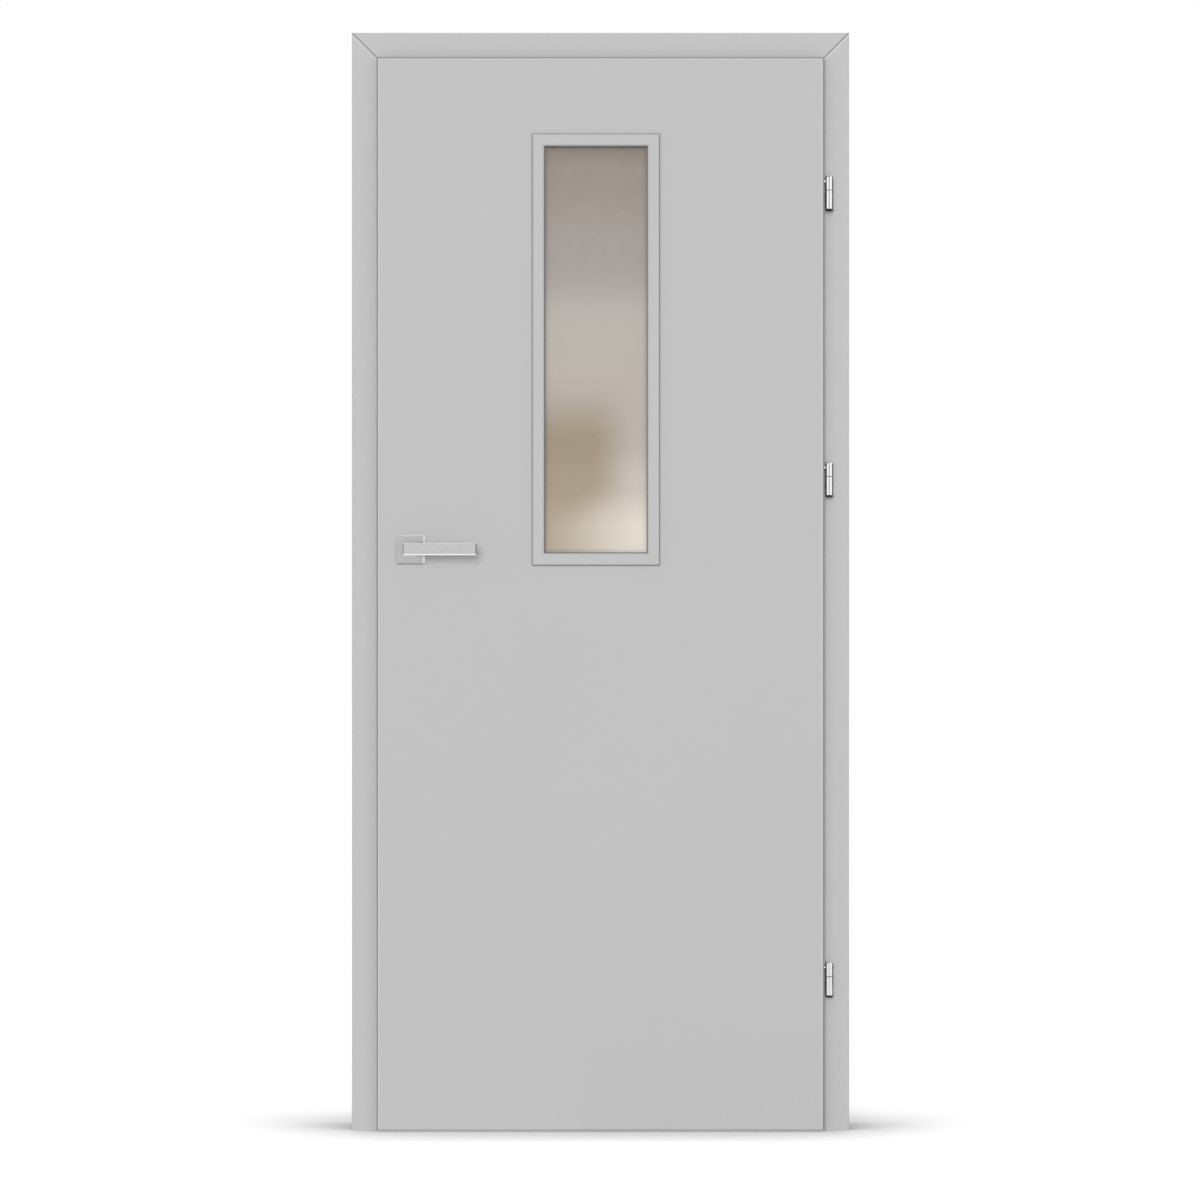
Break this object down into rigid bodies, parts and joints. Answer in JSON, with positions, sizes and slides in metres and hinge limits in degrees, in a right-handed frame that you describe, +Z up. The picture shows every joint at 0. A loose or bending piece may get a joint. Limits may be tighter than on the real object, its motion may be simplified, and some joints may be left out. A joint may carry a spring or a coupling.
{
  "type": "interior door",
  "caption": "Flush rebated interior door with a tall frosted-glass slot, lever handles on square roses and pin hinges, hung in an adjustable wrap-round frame.",
  "frame": {"origin": "on the floor, on the foot of the hinge-side jamb: the middle of the jamb's thickness and of the wall's depth", "axes": "+Z up; -Y out of the face that the leaf opens towards; +X from the lock side to the hinge side"},
  "size_m": [0.943, 0.202, 2.0815],
  "materials": {
    "frame_lacquer": "light grey satin lacquer on wood-based board",
    "seal_rubber": "soft grey extruded door seal",
    "lock_steel": "zinc-plated steel",
    "hinge_nickel": "nickel-plated steel",
    "hinge_nylon": "dark grey nylon",
    "leaf_lacquer": "light grey satin lacquer on wood-based board",
    "core_board": "raw chipboard",
    "glazing_moulding": "light grey moulded frame",
    "frosted_glass": "satin frosted, faint brownish grey",
    "handle_nickel": "satin nickel"
  },
  "bodies": {
    "frame": {"hinge_jamb": "frame_lacquer", "lock_jamb": "frame_lacquer", "head_jamb": "frame_lacquer", "front_architrave_hinge_side": "frame_lacquer", "front_architrave_lock_side": "frame_lacquer", "front_architrave_head": "frame_lacquer", "rear_architrave_hinge_side": "frame_lacquer", "rear_architrave_lock_side": "frame_lacquer", "rear_architrave_head": "frame_lacquer", "seal_hinge_side": "seal_rubber", "seal_lock_side": "seal_rubber", "seal_head": "seal_rubber", "strike_plate": "lock_steel", "hinge_top_frame_knuckle": "hinge_nickel", "hinge_middle_frame_knuckle": "hinge_nickel", "hinge_bottom_frame_knuckle": "hinge_nickel", "hinge_washers": "hinge_nylon"},
    "leaf": {"leaf_front_skin": "leaf_lacquer", "leaf_back_skin": "leaf_lacquer", "leaf_lock_stile": "leaf_lacquer", "leaf_hinge_stile": "leaf_lacquer", "leaf_top_rail": "leaf_lacquer", "leaf_bottom_rail": "leaf_lacquer", "leaf_core": "core_board", "glazing_frame_front": "glazing_moulding", "glazing_frame_rear": "glazing_moulding", "glass_pane": "frosted_glass", "mortise_lock": "lock_steel", "latch_bolt": "lock_steel", "rose_front": "handle_nickel", "rose_rear": "handle_nickel", "hinge_top_leaf_knuckle": "hinge_nickel", "hinge_middle_leaf_knuckle": "hinge_nickel", "hinge_bottom_leaf_knuckle": "hinge_nickel"},
    "levers": {"lever_front": "handle_nickel", "lever_rear": "handle_nickel", "spindle": "lock_steel"}
  },
  "joints": [
    {"name": "door_swing", "type": "hinge", "parent": "frame", "child": "leaf", "pos_m": [0.0204, -0.0785, 1], "axis": [0, 0, 1], "range_deg": [0, 150]},
    {"name": "lever_turn", "type": "hinge", "parent": "leaf", "child": "levers", "pos_m": [-0.773, -0.086, 1.1015], "axis": [0, 1, 0], "range_deg": [0, 40], "stiffness_Nm_per_rad": 1.5, "springref_deg": -34.38}
  ]
}
